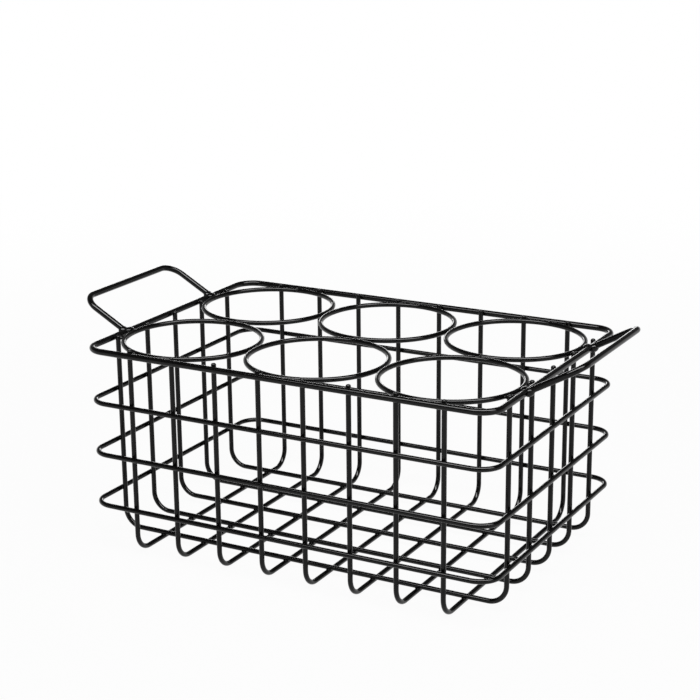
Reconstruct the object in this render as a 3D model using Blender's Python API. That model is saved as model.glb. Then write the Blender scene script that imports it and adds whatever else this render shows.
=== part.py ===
"""Wire wine crate with six rings, two rows of three, and a handle at each end.

Metres, +Z up. The origin is on the ground under the middle of the crate, +X runs along its
length to the right-hand handle and +Y runs from front to back.
"""

import math

import bpy

# Wire
WIRE_D = 0.0035          # uprights, floor wires, hoops and rings
HEAVY_D = 0.0044         # top rim and handles
CONTACT = 0.0003         # air left between two wires that touch

# Rings
RING_BORE = 0.0930       # clear diameter inside a ring
RING_COLUMNS = 3         # rings along the length
RING_ROWS = 2            # rings from front to back
ROW_GAP = 0.0020         # air between a front ring and the back ring behind it

# Walls and floor
RIM_HEIGHT = 0.1462      # ground to the centre of the rim
LOW_HOOP_HEIGHT = 0.0334  # ground to the centre of the lowest hoop
HOOPS = 3                # hoops below the rim
TIP_RISE = 0.0034        # centre of the rim to the cut tips of the cross wires
END_TIP_RISE = 0.0021    # centre of the rim to the cut tips of the long wires
CORNER_R = 0.0145        # corners of the rim and the hoops, seen from above, at the centre of the wire
FLOOR_BEND_R = 0.0130    # bend from the floor up into an upright, at the centre of the wire
CROSS_WIRES = 8          # U wires that run front to back
LONG_WIRES = 5           # U wires that run left to right, on top of the cross wires
END_INSET = 0.0313       # outer edge of the end rings to the outermost cross wire
SIDE_INSET = 0.0300      # outer edge of the side rings to the outermost long wire

# Handles
HANDLE_SPAN = 0.1104     # between the centres of the two legs
HANDLE_REACH = 0.0418    # centre of the rim to the centre of the grip
HANDLE_TILT = math.radians(29.0)  # above the horizontal
HANDLE_BEND_R = 0.0125   # corners of the handle, at the centre of the wire
FOOT_D = 0.0062          # swollen end of a leg, at the rim
FOOT_LENGTH = 0.0050     # length of the swelling

# Fineness of the surfaces
SIDES = 8                # flats round every wire
BEND_STEPS = 6           # straight pieces in a quarter bend
RING_STEPS = 36          # straight pieces in a ring

# What follows from the sizes above
WIRE_R = WIRE_D / 2
HEAVY_R = HEAVY_D / 2
RING_R = RING_BORE / 2 + WIRE_R
RING_OUTER_R = RING_R + WIRE_R
RING_PITCH = 2 * RING_OUTER_R + CONTACT
ROW_PITCH = 2 * RING_OUTER_R + ROW_GAP
TO_CORNER = 1 / math.cos(math.pi / SIDES)


def spread(count, half):
    """Evenly spaced places from -half to half."""
    if count == 1:
        return [0.0]
    return [half * (2 * i / (count - 1) - 1) for i in range(count)]


RING_XS = spread(RING_COLUMNS, RING_PITCH * (RING_COLUMNS - 1) / 2)
RING_YS = spread(RING_ROWS, ROW_PITCH * (RING_ROWS - 1) / 2)
CROSS_XS = spread(CROSS_WIRES, RING_XS[-1] + RING_OUTER_R - END_INSET)
LONG_YS = spread(LONG_WIRES, RING_YS[-1] + RING_OUTER_R - SIDE_INSET)


def wall(rings, last_ring, uprights):
    """Place of a row of uprights: where the outer rings first meet one of them, or the rim."""
    aside = min(abs(u - r) for u in uprights for r in rings)
    reach = RING_OUTER_R + WIRE_R + CONTACT
    touch = math.sqrt(max(reach ** 2 - aside ** 2, 0.0))
    return last_ring + max(touch, RING_OUTER_R - WIRE_R)


END_X = wall(RING_YS, RING_XS[-1], LONG_YS)
SIDE_Y = wall(RING_XS, RING_YS[-1], CROSS_XS)

# Heights of the floor wires' centres: the cross wires rest on the ground, the long wires on them
CROSS_Z = WIRE_R
LONG_Z = CROSS_Z + 2 * WIRE_R + CONTACT
TIP_Z = RIM_HEIGHT + TIP_RISE
END_TIP_Z = RIM_HEIGHT + END_TIP_RISE
HOOP_OUT = 2 * WIRE_R + CONTACT
RIM_OUT = WIRE_R + CONTACT + HEAVY_R
HOOP_PITCH = (RIM_HEIGHT - LOW_HOOP_HEIGHT) / HOOPS


def clear_scene():
    for obj in list(bpy.data.objects):
        bpy.data.objects.remove(obj, do_unlink=True)


def powder_coat(name):
    """Black powder coat, between satin and gloss."""
    material = bpy.data.materials.new(name)
    material.use_nodes = True
    shader = material.node_tree.nodes["Principled BSDF"]
    shader.inputs["Base Color"].default_value = (0.012, 0.0113, 0.0112, 1.0)
    shader.inputs["Roughness"].default_value = 0.30
    shader.inputs["Metallic"].default_value = 0.0
    material.diffuse_color = (0.012, 0.0113, 0.0112, 1.0)
    return material


def arc(centre, radius, start, end, steps):
    """Points on a circle in a plane, from one angle to another, both included."""
    points = []
    for i in range(steps + 1):
        a = start + (end - start) * i / steps
        points.append((centre[0] + radius * math.cos(a), centre[1] + radius * math.sin(a)))
    return points


def rounded_rectangle(half_x, half_y, radius):
    """Closed outline in the XY plane."""
    quarter = math.pi / 2
    points = []
    for k, (sx, sy) in enumerate(((1, 1), (-1, 1), (-1, -1), (1, -1))):
        centre = (sx * (half_x - radius), sy * (half_y - radius))
        points += arc(centre, radius, k * quarter, (k + 1) * quarter, BEND_STEPS)
    return [(x, y, 0.0) for x, y in points]


def u_outline(half_x, height, radius):
    """Open U in the XZ plane, from the left tip down, along the floor and up to the right tip."""
    quarter = math.pi / 2
    points = [(-half_x, height)]
    points += arc((radius - half_x, radius), radius, 2 * quarter, 3 * quarter, BEND_STEPS)
    points += arc((half_x - radius, radius), radius, 3 * quarter, 4 * quarter, BEND_STEPS)
    points += [(half_x, height)]
    return [(x, 0.0, z) for x, z in points]


def handle_outline(foot, reach, half_y, radius):
    """Open loop in the XY plane, from the front foot out round the grip to the back foot."""
    quarter = math.pi / 2
    points = [(foot, -half_y), (foot + FOOT_LENGTH, -half_y)]
    points += arc((reach - radius, radius - half_y), radius, -quarter, 0.0, BEND_STEPS)
    points += arc((reach - radius, half_y - radius), radius, 0.0, quarter, BEND_STEPS)
    points += [(foot + FOOT_LENGTH, half_y), (foot, half_y)]
    return [(x, y, 0.0) for x, y in points]


def wire_curve(name, points, radius, closed=False):
    """Wire along the given points, its flats at the radius and one of them facing out of its plane."""
    curve = bpy.data.curves.new(name, "CURVE")
    curve.dimensions = "3D"
    curve.twist_mode = "MINIMUM"
    curve.bevel_depth = radius * TO_CORNER
    curve.bevel_resolution = (SIDES - 4) // 2
    curve.use_fill_caps = not closed
    spline = curve.splines.new("POLY")
    spline.points.add(len(points) - 1)
    for point, place in zip(spline.points, points):
        point.co = (*place, 1.0)
        point.tilt = math.pi / SIDES
    spline.use_cyclic_u = closed
    spline.use_smooth = True
    return curve


def put(collection, parent, name, curve, material, location=(0, 0, 0), rotation=(0, 0, 0)):
    """One piece of the crate."""
    if not curve.materials:
        curve.materials.append(material)
    obj = bpy.data.objects.new(name, curve)
    obj.location = location
    obj.rotation_euler = rotation
    obj.parent = parent
    collection.objects.link(obj)
    return obj


def build():
    clear_scene()
    collection = bpy.data.collections.new("wine_crate")
    bpy.context.scene.collection.children.link(collection)
    crate = bpy.data.objects.new("crate_origin", None)
    collection.objects.link(crate)

    # Floor wires with their uprights: the cross wires lie lowest, the long wires lie on them
    cross_coat = powder_coat("cross_wire_coat")
    cross = wire_curve("cross_wire", u_outline(SIDE_Y, TIP_Z - CROSS_Z, FLOOR_BEND_R), WIRE_R)
    for i, x in enumerate(CROSS_XS):
        put(collection, crate, f"cross_wire_{i + 1}", cross, cross_coat, (x, 0, CROSS_Z), (0, 0, math.pi / 2))
    long_coat = powder_coat("long_wire_coat")
    long = wire_curve("long_wire", u_outline(END_X, END_TIP_Z - LONG_Z, FLOOR_BEND_R), WIRE_R)
    for i, y in enumerate(LONG_YS):
        put(collection, crate, f"long_wire_{i + 1}", long, long_coat, (0, y, LONG_Z))

    # Hoops round the outside of the uprights, numbered from the lowest
    hoop_coat = powder_coat("hoop_coat")
    outline = rounded_rectangle(END_X + HOOP_OUT, SIDE_Y + HOOP_OUT, CORNER_R)
    hoop = wire_curve("hoop", outline, WIRE_R, closed=True)
    for i in range(HOOPS):
        put(collection, crate, f"hoop_{i + 1}", hoop, hoop_coat, (0, 0, LOW_HOOP_HEIGHT + i * HOOP_PITCH))

    # Top rim
    rim_coat = powder_coat("rim_coat")
    outline = rounded_rectangle(END_X + RIM_OUT, SIDE_Y + RIM_OUT, CORNER_R)
    rim = wire_curve("top_rim", outline, HEAVY_R, closed=True)
    put(collection, crate, "top_rim", rim, rim_coat, (0, 0, RIM_HEIGHT))

    # Rings in the plane of the rim, rows numbered from the front and columns from the left
    ring_coat = powder_coat("ring_coat")
    circle = [(x, y, 0.0) for x, y in arc((0, 0), RING_R, 0.0, 2 * math.pi, RING_STEPS)[:-1]]
    ring = wire_curve("ring", circle, WIRE_R, closed=True)
    for r, y in enumerate(RING_YS):
        for c, x in enumerate(RING_XS):
            put(collection, crate, f"ring_row{r + 1}_col{c + 1}", ring, ring_coat, (x, y, RIM_HEIGHT))

    # Handles, welded on: their legs butt against the outside of the rim, swollen at the weld
    handle_coat = powder_coat("handle_coat")
    foot = HEAVY_R * TO_CORNER + CONTACT
    outline = handle_outline(foot, HANDLE_REACH, HANDLE_SPAN / 2, HANDLE_BEND_R)
    handle = wire_curve("handle", outline, HEAVY_R)
    for end in (0, -1):
        handle.splines[0].points[end].radius = FOOT_D / HEAVY_D
    for name, side, turn in (("handle_left", -1, math.pi), ("handle_right", 1, 0.0)):
        place = (side * (END_X + RIM_OUT), 0, RIM_HEIGHT)
        put(collection, crate, name, handle, handle_coat, place, (0, -HANDLE_TILT, turn))


build()
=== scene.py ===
import math

import bmesh
import bpy
import numpy as np
from mathutils import Matrix, Vector


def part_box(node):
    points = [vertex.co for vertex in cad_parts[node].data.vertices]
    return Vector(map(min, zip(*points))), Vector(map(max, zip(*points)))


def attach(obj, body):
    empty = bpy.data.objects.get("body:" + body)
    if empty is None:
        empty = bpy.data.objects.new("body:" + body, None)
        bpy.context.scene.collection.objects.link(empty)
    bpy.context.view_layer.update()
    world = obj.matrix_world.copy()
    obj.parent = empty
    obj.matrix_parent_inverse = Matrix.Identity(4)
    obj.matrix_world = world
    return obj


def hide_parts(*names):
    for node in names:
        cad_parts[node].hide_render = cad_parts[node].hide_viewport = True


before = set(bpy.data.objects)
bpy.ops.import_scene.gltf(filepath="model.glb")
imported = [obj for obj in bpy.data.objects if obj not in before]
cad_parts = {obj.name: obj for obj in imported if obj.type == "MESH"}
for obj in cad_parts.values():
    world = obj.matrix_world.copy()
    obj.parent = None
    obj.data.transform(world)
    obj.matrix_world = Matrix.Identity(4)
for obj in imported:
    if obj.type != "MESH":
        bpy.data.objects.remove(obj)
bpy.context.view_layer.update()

# Sizes of the crate in metres, the same as in its solids
WIRE_R = 0.00175          # uprights, floor wires, hoops and rings
HEAVY_R = 0.0022          # rim and handles
CONTACT = 0.0003          # air that the solids keep between two wires that touch
RING_R = 0.04825          # centre of a ring to the centre of its wire
RING_X = 0.1003           # middle ring to an end ring
RING_Y = 0.0510           # middle of the crate to either row of rings
RIM_Z = 0.1462            # heights are from the ground to the centre of a wire, or to a cut tip
CROSS_TIP_Z = 0.1496
LONG_TIP_Z = 0.1483
HOOP_ZS = (0.0334, 0.0710, 0.1086)
CROSS_Z = 0.00175         # cross wires run front to back, resting on the ground
LONG_Z = 0.00555          # long wires run left to right, resting on the cross wires
FIRST_CROSS_X = -0.119    # the left-hand cross wire
CROSS_PITCH = 0.034
CROSS_XS = [FIRST_CROSS_X + CROSS_PITCH * i for i in range(8)]
FIRST_LONG_Y = -0.071     # the front long wire
LONG_PITCH = 0.0355
LONG_YS = [FIRST_LONG_Y + LONG_PITCH * i for i in range(5)]
END_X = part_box("long_wire_1")[1].x - WIRE_R   # uprights at the left and right ends
SIDE_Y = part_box("cross_wire_1")[1].y - WIRE_R  # uprights at the front and the back
HOOP_OUT = 2 * WIRE_R + CONTACT
RIM_OUT = WIRE_R + CONTACT + HEAVY_R
RIM_END = END_X + RIM_OUT
CORNER_R = 0.0145         # corners of the rim and the hoops
BEND_R = 0.0130           # bend from the floor up into an upright
HANDLE_FOOT = 0.0008      # centre of the rim to the start of a leg, inside the weld
HANDLE_SPAN = 0.1104
HANDLE_REACH = 0.0418
HANDLE_TILT = math.radians(29.0)
HANDLE_BEND_R = 0.0125

# Details that the solids leave out
TIP_EDGE_R = 0.0013       # rounded edge of a cut tip
FRONT_TIP_DROP = {1: 0.0008, 4: 0.0008}  # cross wires, counted from 0, that end lower at the front
NECK_R = 0.00105          # waist of the weld between two crossed wires
RING_NECK_R = 0.00110     # waist of the weld between a ring and an upright
NECK_DEPTH = 0.55         # how far a neck runs into a wire, as a share of its radius
NECK_SPREAD = 0.9         # growth of a neck along the wire that it runs into
NECK_FLARE = 0.15         # and across it

# Fineness of the meshes
SIDES = 28                # flats round a wire
ARC_STEPS = 18            # straight pieces in a quarter bend
RING_STEPS = 120          # straight pieces in a ring
TIP_STEPS = 8             # steps over the rounded edge of a tip
WELD_SIDES = 20           # flats round a weld
NECK_LEVELS = 9
LUMP_LEVELS = 14

X, Y, Z = np.eye(3)


# Coat

def powder_coat(name, seed):
    """Black powder coat: faint orange peel, small changes of gloss, a few dull specks."""
    material = bpy.data.materials.new(name)
    material.use_nodes = True
    tree = material.node_tree
    shader = tree.nodes["Principled BSDF"]
    shader.inputs["Metallic"].default_value = 0.0
    shader.inputs["IOR"].default_value = 1.29
    coords = tree.nodes.new("ShaderNodeTexCoord")
    shift = tree.nodes.new("ShaderNodeMapping")
    shift.inputs["Location"].default_value = (0.37 * seed, 0.11 * seed, 0.53 * seed)
    tree.links.new(coords.outputs["Object"], shift.inputs["Vector"])

    def noise(scale, detail, rough=0.5):
        node = tree.nodes.new("ShaderNodeTexNoise")
        node.inputs["Scale"].default_value = scale
        node.inputs["Detail"].default_value = detail
        node.inputs["Roughness"].default_value = rough
        tree.links.new(shift.outputs["Vector"], node.inputs["Vector"])
        return node.outputs["Fac"]

    def ramp(source, low, low_colour, high, high_colour):
        node = tree.nodes.new("ShaderNodeValToRGB")
        first, last = node.color_ramp.elements
        first.position = low
        first.color = (*low_colour, 1)
        last.position = high
        last.color = (*high_colour, 1)
        tree.links.new(source, node.inputs["Fac"])
        return node.outputs["Color"]

    # Colour: a slow change of tone, with specks where the powder is thin
    tone = ramp(noise(scale=55.0, detail=3.0),
                0.30, (0.0012, 0.0011, 0.0011),
                0.70, (0.0026, 0.0024, 0.0023))
    specks = ramp(noise(scale=2600.0, detail=1.0), 0.66, (0, 0, 0), 0.74, (1, 1, 1))
    mix = tree.nodes.new("ShaderNodeMix")
    mix.data_type = "RGBA"
    mix.inputs["B"].default_value = (0.010, 0.0094, 0.0092, 1)
    tree.links.new(specks, mix.inputs["Factor"])
    tree.links.new(tone, mix.inputs["A"])
    tree.links.new(mix.outputs["Result"], shader.inputs["Base Color"])

    # Gloss
    rough = tree.nodes.new("ShaderNodeMapRange")
    rough.inputs["From Min"].default_value = 0.3
    rough.inputs["From Max"].default_value = 0.7
    rough.inputs["To Min"].default_value = 0.07
    rough.inputs["To Max"].default_value = 0.13
    tree.links.new(noise(scale=240.0, detail=4.0, rough=0.6), rough.inputs["Value"])
    tree.links.new(rough.outputs["Result"], shader.inputs["Roughness"])

    # Orange peel, under a millimetre across
    bump = tree.nodes.new("ShaderNodeBump")
    bump.inputs["Strength"].default_value = 0.025
    bump.inputs["Distance"].default_value = 0.00008
    tree.links.new(noise(scale=1300.0, detail=2.0), bump.inputs["Height"])
    tree.links.new(bump.outputs["Normal"], shader.inputs["Normal"])
    return material


SLOTS = ("cross_wire", "long_wire", "hoop", "rim", "ring", "handle")
coats = {slot: powder_coat("powder_coat_" + slot, seed) for seed, slot in enumerate(SLOTS)}


# Paths

def arc(cx, cy, radius, start, end, steps=ARC_STEPS):
    """Points on a circle from one angle to another, both included."""
    angles = [start + (end - start) * i / steps for i in range(steps + 1)]
    return [(cx + radius * math.cos(a), cy + radius * math.sin(a)) for a in angles]


def rounded_rectangle(half_x, half_y, radius):
    """Closed outline seen from above."""
    quarter = math.pi / 2
    points = []
    for k, (sx, sy) in enumerate(((1, 1), (-1, 1), (-1, -1), (1, -1))):
        cx = sx * (half_x - radius)
        cy = sy * (half_y - radius)
        points += arc(cx, cy, radius, k * quarter, (k + 1) * quarter)
    return points


def u_outline(half, bottom, top, radius):
    """Open U from one tip down, along the floor and up to the other tip."""
    quarter = math.pi / 2
    left = arc(radius - half, bottom + radius, radius, 2 * quarter, 3 * quarter)
    right = arc(half - radius, bottom + radius, radius, 3 * quarter, 4 * quarter)
    return [(-half, top)] + left + right + [(half, top)]


def handle_outline(foot, reach, half, radius):
    """Open loop from the front foot out round the grip to the back foot."""
    quarter = math.pi / 2
    near = arc(reach - radius, radius - half, radius, -quarter, 0.0)
    far = arc(reach - radius, half - radius, radius, 0.0, quarter)
    return [(foot, -half)] + near + far + [(foot, half)]


# Meshes

def mesh_object(name, verts, faces, slot):
    """A piece of the crate in the coat of the given slot."""
    mesh = bpy.data.meshes.new(name)
    mesh.from_pydata([tuple(v) for v in verts], [], faces)
    mesh.validate()
    mesh.materials.append(coats[slot])
    obj = bpy.data.objects.new(name, mesh)
    bpy.context.scene.collection.objects.link(obj)
    check = bmesh.new()
    check.from_mesh(mesh)
    bmesh.ops.recalc_face_normals(check, faces=check.faces)
    check.to_mesh(mesh)
    check.free()
    mesh.shade_smooth()
    mesh.set_sharp_from_angle(angle=math.radians(50))
    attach(obj, "root")
    return obj


def rounded_tips(path, radius, edge):
    """Adds the rounded edge of a cut tip at both ends of an open path; gives the path and its radii."""
    path = [np.array(p, float) for p in path]

    def tip(end, inner):
        along = (end - inner) / np.linalg.norm(end - inner)
        base = end - along * edge
        places, radii = [], []
        for k in range(TIP_STEPS + 1):
            a = math.pi / 2 * k / TIP_STEPS
            places.append(base + along * edge * math.sin(a))
            radii.append(radius - edge * (1 - math.cos(a)))
        return places, radii

    head, head_radii = tip(path[0], path[1])
    tail, tail_radii = tip(path[-1], path[-2])
    body = path[1:-1]
    return head[::-1] + body + tail, head_radii[::-1] + [radius] * len(body) + tail_radii


def grid_faces(rows, columns):
    """Faces between rows of points that each go once round."""
    faces = []
    for i in range(rows - 1):
        a, b = i * columns, (i + 1) * columns
        for k in range(columns):
            n = (k + 1) % columns
            faces.append((a + k, a + n, b + n, b + k))
    return faces


def end_faces(rows, columns):
    """Flat faces that close the first and the last row of such points."""
    last = (rows - 1) * columns
    return [tuple(range(columns - 1, -1, -1)), tuple(last + k for k in range(columns))]


def sweep(path, radii, normal, closed):
    """Round wire along a flat path whose plane has the given normal."""
    path = np.array(path, float)
    radii = np.array(radii, float)
    normal = np.array(normal, float)
    count = len(path)
    ahead = np.roll(path, -1, 0) - path
    back = path - np.roll(path, 1, 0)
    if not closed:
        ahead[-1] = back[-1]
        back[0] = ahead[0]
    ahead /= np.linalg.norm(ahead, axis=1)[:, None]
    back /= np.linalg.norm(back, axis=1)[:, None]
    along = ahead + back
    along /= np.linalg.norm(along, axis=1)[:, None]
    across = np.cross(normal, along)
    turn = np.linspace(0, 2 * math.pi, SIDES, endpoint=False)
    ring = np.cos(turn)[None, :, None] * normal + np.sin(turn)[None, :, None] * across[:, None, :]
    verts = (path[:, None, :] + radii[:, None, None] * ring).reshape(-1, 3)
    faces = grid_faces(count, SIDES)
    if closed:
        last = (count - 1) * SIDES
        for k in range(SIDES):
            n = (k + 1) % SIDES
            faces.append((last + k, last + n, n, k))
    else:
        faces += end_faces(count, SIDES)
    return verts, faces


def neck(centre, towards, upper_axis, lower_axis, depth, size):
    """Weld between two crossed wires, a waist of the given radius that spreads into both.

    towards is the direction from the lower wire to the upper one, and the two axes are the wires'
    directions.
    """
    verts = []
    for j in range(NECK_LEVELS):
        w = -1 + 2 * j / (NECK_LEVELS - 1)
        q = w * w
        spread, flare = 1 + NECK_SPREAD * q, 1 + NECK_FLARE * q
        on_upper, on_lower = (spread, flare) if w > 0 else (flare, spread)
        for k in range(WELD_SIDES):
            a = 2 * math.pi * k / WELD_SIDES
            around = on_upper * math.cos(a) * upper_axis + on_lower * math.sin(a) * lower_axis
            verts.append(centre + towards * w * depth + size * around)
    return verts, grid_faces(NECK_LEVELS, WELD_SIDES) + end_faces(NECK_LEVELS, WELD_SIDES)


def lump(centre, axes, sizes):
    """Egg shape with the given half sizes along three axes."""
    verts = []
    for j in range(1, LUMP_LEVELS):
        p = math.pi * j / LUMP_LEVELS
        for k in range(WELD_SIDES):
            a = 2 * math.pi * k / WELD_SIDES
            d = (math.sin(p) * math.cos(a), math.sin(p) * math.sin(a), math.cos(p))
            verts.append(centre + sum(s * c * axis for s, c, axis in zip(sizes, d, axes)))
    faces = grid_faces(LUMP_LEVELS - 1, WELD_SIDES)
    top, bottom = len(verts), len(verts) + 1
    verts.append(centre + sizes[2] * axes[2])
    verts.append(centre - sizes[2] * axes[2])
    last = (LUMP_LEVELS - 2) * WELD_SIDES
    for k in range(WELD_SIDES):
        n = (k + 1) % WELD_SIDES
        faces.append((top, n, k))
        faces.append((bottom, last + k, last + n))
    return verts, faces


def merged(name, shapes, slot):
    """One piece made of many shapes."""
    verts, faces = [], []
    for shape_verts, shape_faces in shapes:
        start = len(verts)
        verts.extend(shape_verts)
        faces.extend(tuple(i + start for i in face) for face in shape_faces)
    mesh_object(name, verts, faces, slot)


def rod(name, node, slot, path, radii, normal, closed):
    """Round wire in place of one of the crate's solids."""
    verts, faces = sweep(path, radii, normal, closed)
    piece = mesh_object(name, verts, faces, slot)
    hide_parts(node)


# Wires

def cross_rods():
    """Cross wires: floor and uprights."""
    for i, x in enumerate(CROSS_XS):
        path = [(x, y, z) for y, z in u_outline(SIDE_Y, CROSS_Z, CROSS_TIP_Z, BEND_R)]
        path[0] = (x, -SIDE_Y, CROSS_TIP_Z - FRONT_TIP_DROP.get(i, 0.0))
        path, radii = rounded_tips(path, WIRE_R, TIP_EDGE_R)
        rod(f"cross_rod_{i + 1}", f"cross_wire_{i + 1}", "cross_wire", path, radii, X, False)


def long_rods():
    """Long wires: floor and uprights."""
    outline = u_outline(END_X, LONG_Z, LONG_TIP_Z, BEND_R)
    for j, y in enumerate(LONG_YS):
        path, radii = rounded_tips([(x, y, z) for x, z in outline], WIRE_R, TIP_EDGE_R)
        rod(f"long_rod_{j + 1}", f"long_wire_{j + 1}", "long_wire", path, radii, Y, False)


def hoop_rods():
    """Hoops round the outside of the uprights, from the lowest."""
    outline = rounded_rectangle(END_X + HOOP_OUT, SIDE_Y + HOOP_OUT, CORNER_R)
    radii = [WIRE_R] * len(outline)
    for i, z in enumerate(HOOP_ZS):
        path = [(x, y, z) for x, y in outline]
        rod(f"hoop_rod_{i + 1}", f"hoop_{i + 1}", "hoop", path, radii, Z, True)


def rim_rod():
    """Rim of the heavier wire."""
    path = [(x, y, RIM_Z) for x, y in rounded_rectangle(RIM_END, SIDE_Y + RIM_OUT, CORNER_R)]
    rod("rim_rod", "top_rim", "rim", path, [HEAVY_R] * len(path), Z, True)


# Row, column and middle of each ring, rows from the front and columns from the left
RINGS = [(r, c, (c - 1) * RING_X, (2 * r - 1) * RING_Y) for r in range(2) for c in range(3)]


def ring_rods():
    """Rings in the plane of the rim."""
    circle = arc(0, 0, RING_R, 0, 2 * math.pi, RING_STEPS)[:-1]
    radii = [WIRE_R] * len(circle)
    for r, c, x, y in RINGS:
        path = [(x + px, y + py, RIM_Z) for px, py in circle]
        rod(f"ring_rod_{r + 1}_{c + 1}", f"ring_row{r + 1}_col{c + 1}", "ring", path, radii, Z, True)


def leg_direction(side):
    """Out and up along the legs of the handle at the given end."""
    return np.array([side * math.cos(HANDLE_TILT), 0, math.sin(HANDLE_TILT)])


def handle_rods():
    """Handles, their legs run into the rim."""
    outline = handle_outline(HANDLE_FOOT, HANDLE_REACH, HANDLE_SPAN / 2, HANDLE_BEND_R)
    radii = [HEAVY_R] * len(outline)
    for name, side in (("left", -1), ("right", 1)):
        out = leg_direction(side)
        root = np.array([side * RIM_END, 0, RIM_Z])
        path = [root + out * a + Y * b for a, b in outline]
        rod(f"handle_rod_{name}", f"handle_{name}", "handle", path, radii, np.cross(out, Y), False)


# Welds

def floor_welds():
    """Necks where the floor wires cross."""
    shapes = []
    for x in CROSS_XS:
        for y in LONG_YS:
            at = np.array([x, y, CROSS_Z + WIRE_R + CONTACT / 2])
            shapes.append(neck(at, Z, X, Y, NECK_DEPTH * WIRE_R, NECK_R))
    merged("welds_floor", shapes, "long_wire")


def wall_welds():
    """Necks where the hoops and the rim cross the uprights."""
    depth = NECK_DEPTH * WIRE_R
    shapes = []
    for z in (*HOOP_ZS, RIM_Z):
        for side in (-1, 1):
            for x in CROSS_XS:
                at = np.array([x, side * (SIDE_Y + WIRE_R + CONTACT / 2), z])
                shapes.append(neck(at, side * Y, X, Z, depth, NECK_R))
            for y in LONG_YS:
                at = np.array([side * (END_X + WIRE_R + CONTACT / 2), y, z])
                shapes.append(neck(at, side * X, Y, Z, depth, NECK_R))
    merged("welds_walls", shapes, "hoop")


# A ring is welded to the uprights that come this near to it, in the front row and in the back row
WELDED_GAP = (0.0020, 0.0013)
# Metal that has run into the pocket between a ring, an upright and the rim
POCKET_ASIDE = 0.0032     # upright to the middle of the metal, along the wall
POCKET_HALF_LENGTH = 0.0030
POCKET_HALF_HEIGHT = 0.0013
POCKET_OVERLAP = 0.0008   # how far it runs into the ring and the rim
# Bead between two rings side by side
BEAD_HALF_SIZES = (0.0011, 0.0050, 0.0011)


def upright_places():
    """Each upright's place from above, the ways out of and along its wall, and the wall's distance."""
    for x in CROSS_XS:
        for side in (-1, 1):
            yield x, side * SIDE_Y, side * Y, X, SIDE_Y
    for y in LONG_YS:
        for side in (-1, 1):
            yield side * END_X, y, side * X, Y, END_X


def pocket_lump(ring_x, ring_y, away, wall, tangent, wall_distance):
    """Lump in the pocket beside an upright, which lies away from the ring's middle."""
    middle = np.array([ring_x, ring_y, 0])
    aside = away @ tangent
    along = aside - np.sign(aside) * POCKET_ASIDE
    ring_face = math.sqrt(RING_R ** 2 - along ** 2) + WIRE_R + abs(middle @ wall)
    rim_face = wall_distance + WIRE_R + CONTACT
    centre = wall * (ring_face + rim_face) / 2 + tangent * (middle @ tangent + along) + Z * RIM_Z
    half_depth = (rim_face - ring_face) / 2 + POCKET_OVERLAP
    return lump(centre, (wall, tangent, Z), (half_depth, POCKET_HALF_LENGTH, POCKET_HALF_HEIGHT))


def ring_welds():
    """Welds that hold the rings to the uprights beside them and to each other."""
    shapes = []
    for r, _, x, y in RINGS:
        for ux, uy, wall, tangent, wall_distance in upright_places():
            away = np.array([ux - x, uy - y, 0.0])
            gap = np.linalg.norm(away) - RING_R - 2 * WIRE_R
            if gap < WELDED_GAP[r]:
                w = away / np.linalg.norm(away)
                at = np.array([x, y, RIM_Z]) + w * (RING_R + WIRE_R + gap / 2)
                depth = NECK_DEPTH * (WIRE_R + gap)
                shapes.append(neck(at, w, Z, np.cross(Z, w), depth, RING_NECK_R))
                shapes.append(pocket_lump(x, y, away, wall, tangent, wall_distance))
    for y in (-RING_Y, RING_Y):
        for x in (-RING_X / 2, RING_X / 2):
            shapes.append(lump(np.array([x, y, RIM_Z]), (X, Y, Z), BEAD_HALF_SIZES))
    merged("welds_rings", shapes, "ring")


# Weld at the foot of a handle
# Collar round the leg: distance out along it, and below its centre
COLLAR_OUT = 0.0024
COLLAR_BELOW = 0.0007
COLLAR_HALF_SIZES = (0.0031, 0.0038, 0.0036)
# Metal that has run down the outside of the rim: distances out, down and back from the foot, half sizes
RUN_LUMPS = (
    ((0.0018, 0.0008, 0.0012), (0.0026, 0.0021, 0.0044)),
    ((0.0026, 0.0006, 0.0038), (0.0017, 0.0018, 0.0020)),
)
# Bead over the rim to the ring beside it
OVER_BEAD_IN = 0.0014     # in from the centre of the rim
OVER_BEAD_ABOVE = 0.0012
OVER_BEAD_Y = 0.0532      # from the middle of the handle
OVER_BEAD_HALF_SIZES = (0.0030, 0.0020, 0.0042)


def handle_welds():
    """Welds at the feet of the handles."""
    shapes = []
    for side in (-1, 1):
        out = leg_direction(side)
        over = np.cross(out, Y) * side
        for foot in (-1, 1):
            at = np.array([side * RIM_END, foot * HANDLE_SPAN / 2, RIM_Z])
            collar = at + out * COLLAR_OUT - over * COLLAR_BELOW
            shapes.append(lump(collar, (over, Y, out), COLLAR_HALF_SIZES))
            for (outward, below, back), half_sizes in RUN_LUMPS:
                place = at + X * side * outward - Z * below + Y * back
                shapes.append(lump(place, (X, Z, Y), half_sizes))
            bead = np.array([side * (RIM_END - OVER_BEAD_IN), foot * OVER_BEAD_Y, RIM_Z + OVER_BEAD_ABOVE])
            shapes.append(lump(bead, (X, Z, Y), OVER_BEAD_HALF_SIZES))
    merged("welds_handles", shapes, "handle")


cross_rods()
long_rods()
hoop_rods()
rim_rod()
ring_rods()
handle_rods()
floor_welds()
wall_welds()
ring_welds()
handle_welds()


# Studio

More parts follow.
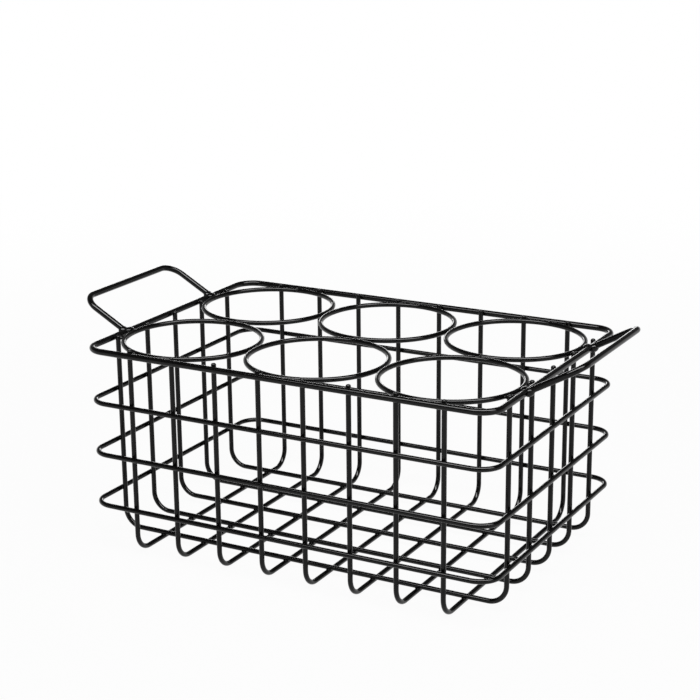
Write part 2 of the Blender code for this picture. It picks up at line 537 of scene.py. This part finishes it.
def seen_directly(tree):
    """1 for rays from the camera and for those that gloss or glass turns aside, 0 for light itself."""
    path = tree.nodes.new("ShaderNodeLightPath")
    first = tree.nodes.new("ShaderNodeMath")
    first.operation = "MAXIMUM"
    second = tree.nodes.new("ShaderNodeMath")
    second.operation = "MAXIMUM"
    tree.links.new(path.outputs["Is Camera Ray"], first.inputs[0])
    tree.links.new(path.outputs["Is Glossy Ray"], first.inputs[1])
    tree.links.new(first.outputs[0], second.inputs[0])
    tree.links.new(path.outputs["Is Transmission Ray"], second.inputs[1])
    return second.outputs[0]


def stage_material():
    """Pale floor that keeps the crate's shadow and is plain white further off."""
    material = bpy.data.materials.new("studio_floor")
    material.use_nodes = True
    tree = material.node_tree
    for node in list(tree.nodes):
        tree.nodes.remove(node)
    out = tree.nodes.new("ShaderNodeOutputMaterial")
    paint = tree.nodes.new("ShaderNodeBsdfDiffuse")
    paint.inputs["Color"].default_value = (0.86, 0.86, 0.86, 1)
    glow = tree.nodes.new("ShaderNodeEmission")
    glow.inputs["Strength"].default_value = 1.0
    # Share of plain white, by the distance from the crate in metres
    coords = tree.nodes.new("ShaderNodeTexCoord")
    distance = tree.nodes.new("ShaderNodeVectorMath")
    distance.operation = "LENGTH"
    tree.links.new(coords.outputs["Object"], distance.inputs[0])
    white = tree.nodes.new("ShaderNodeMapRange")
    white.interpolation_type = "SMOOTHSTEP"
    white.inputs["From Min"].default_value = 0.25
    white.inputs["From Max"].default_value = 1.3
    white.inputs["To Min"].default_value = 0.95
    white.inputs["To Max"].default_value = 1.0
    tree.links.new(distance.outputs["Value"], white.inputs["Value"])
    share = tree.nodes.new("ShaderNodeMath")
    share.operation = "MULTIPLY"
    tree.links.new(white.outputs["Result"], share.inputs[1])
    tree.links.new(seen_directly(tree), share.inputs[0])
    mix = tree.nodes.new("ShaderNodeMixShader")
    tree.links.new(share.outputs[0], mix.inputs["Fac"])
    tree.links.new(paint.outputs[0], mix.inputs[1])
    tree.links.new(glow.outputs[0], mix.inputs[2])
    tree.links.new(mix.outputs[0], out.inputs["Surface"])
    return material


def studio_floor():
    bpy.ops.mesh.primitive_plane_add(size=30, location=(0, 0, 0))
    floor = bpy.context.object
    floor.name = "studio_floor"
    floor.data.materials.append(stage_material())


def studio_world():
    """White backdrop round the horizon, under a darker ceiling."""
    world = bpy.data.worlds.new("studio")
    bpy.context.scene.world = world
    world.use_nodes = True
    tree = world.node_tree
    sky = tree.nodes["Background"]
    # Half strength as light, full strength where it is seen
    level = tree.nodes.new("ShaderNodeMapRange")
    level.inputs["To Min"].default_value = 0.5
    level.inputs["To Max"].default_value = 1.0
    tree.links.new(seen_directly(tree), level.inputs["Value"])
    tree.links.new(level.outputs["Result"], sky.inputs["Strength"])
    # From the backdrop to the ceiling, by the sine of the height above the horizon
    towards = tree.nodes.new("ShaderNodeTexCoord")
    height = tree.nodes.new("ShaderNodeSeparateXYZ")
    tree.links.new(towards.outputs["Generated"], height.inputs["Vector"])
    ceiling = tree.nodes.new("ShaderNodeValToRGB")
    low, high = ceiling.color_ramp.elements
    low.position = 0.06
    low.color = (1.0, 1.0, 1.0, 1)
    high.position = 0.26
    high.color = (0.14, 0.14, 0.14, 1)
    tree.links.new(height.outputs["Z"], ceiling.inputs["Fac"])
    tree.links.new(ceiling.outputs["Color"], sky.inputs["Color"])


def softbox(name, place, aim, size, watts, gloss=True, matt=True):
    """Rectangular lamp; gloss and matt say which kind of surface it reaches."""
    light = bpy.data.lights.new(name, "AREA")
    light.shape = "RECTANGLE"
    light.size, light.size_y = size
    light.energy = watts
    obj = bpy.data.objects.new(name, light)
    obj.location = place
    obj.rotation_euler = (Vector(aim) - Vector(place)).to_track_quat("-Z", "Y").to_euler()
    obj.visible_camera = False
    obj.visible_glossy = gloss
    obj.visible_diffuse = matt
    bpy.context.scene.collection.objects.link(obj)


def studio_lamps():
    """Soft lamps overhead, behind and at the right, and two panels that only gloss shows."""
    rim_middle = (0, 0, 0.146)
    softbox("light_key", place=(0.35, -0.63, 2.0), aim=rim_middle, size=(1.8, 1.2), watts=30,
            gloss=False)
    # Their reflection runs along the tops of the wires, brightest in the middle of the crate
    softbox("light_panel", place=(0.313, -0.567, 1.826), aim=rim_middle, size=(2.2, 0.70), watts=36,
            matt=False)
    softbox("light_panel_wide", place=(0.302, -0.547, 1.766), aim=rim_middle, size=(3.08, 0.68), watts=80,
            matt=False)
    softbox("light_back", place=(-1.27, 2.03, 0.31), aim=(0, 0, 0.1), size=(1.2, 0.36), watts=5.5)
    softbox("light_right", place=(1.9, -0.5, 0.9), aim=(0, 0, 0.08), size=(1.1, 1.1), watts=4.5)


# Camera: focal length in pixels of a frame 700 wide, angles in radians, distances in metres
FRAME_WIDTH = 700
SENSOR_WIDTH = 36
FOCAL_LENGTH = 1796.34
AZIMUTH = 0.504275
ELEVATION = 0.289479
ROLL = -0.009811
DISTANCE = 1.255482
AIM_HEIGHT = 0.138714
AIM_LEFT = 0.00269


def photo_camera():
    """Camera in front of the crate, towards its right and a little above it."""
    data = bpy.data.cameras.new("photo_camera")
    data.sensor_width = SENSOR_WIDTH
    data.lens = SENSOR_WIDTH * FOCAL_LENGTH / FRAME_WIDTH
    data.clip_start = 0.05
    data.clip_end = 60
    camera = bpy.data.objects.new("photo_camera", data)
    ahead = Vector((
        -math.sin(AZIMUTH) * math.cos(ELEVATION),
        math.cos(AZIMUTH) * math.cos(ELEVATION),
        -math.sin(ELEVATION),
    ))
    right = Vector((math.cos(AZIMUTH), math.sin(AZIMUTH), 0))
    up = right.cross(ahead)
    turned_right = math.cos(ROLL) * right + math.sin(ROLL) * up
    turned_up = -math.sin(ROLL) * right + math.cos(ROLL) * up
    aim = Vector((0, 0, AIM_HEIGHT)) - AIM_LEFT * right
    basis = Matrix((turned_right, turned_up, -ahead)).transposed()
    camera.matrix_world = Matrix.Translation(aim - DISTANCE * ahead) @ basis.to_4x4()
    bpy.context.scene.collection.objects.link(camera)
    bpy.context.scene.camera = camera


studio_floor()
studio_world()
studio_lamps()
photo_camera()
bpy.context.scene.view_settings.view_transform = "Standard"
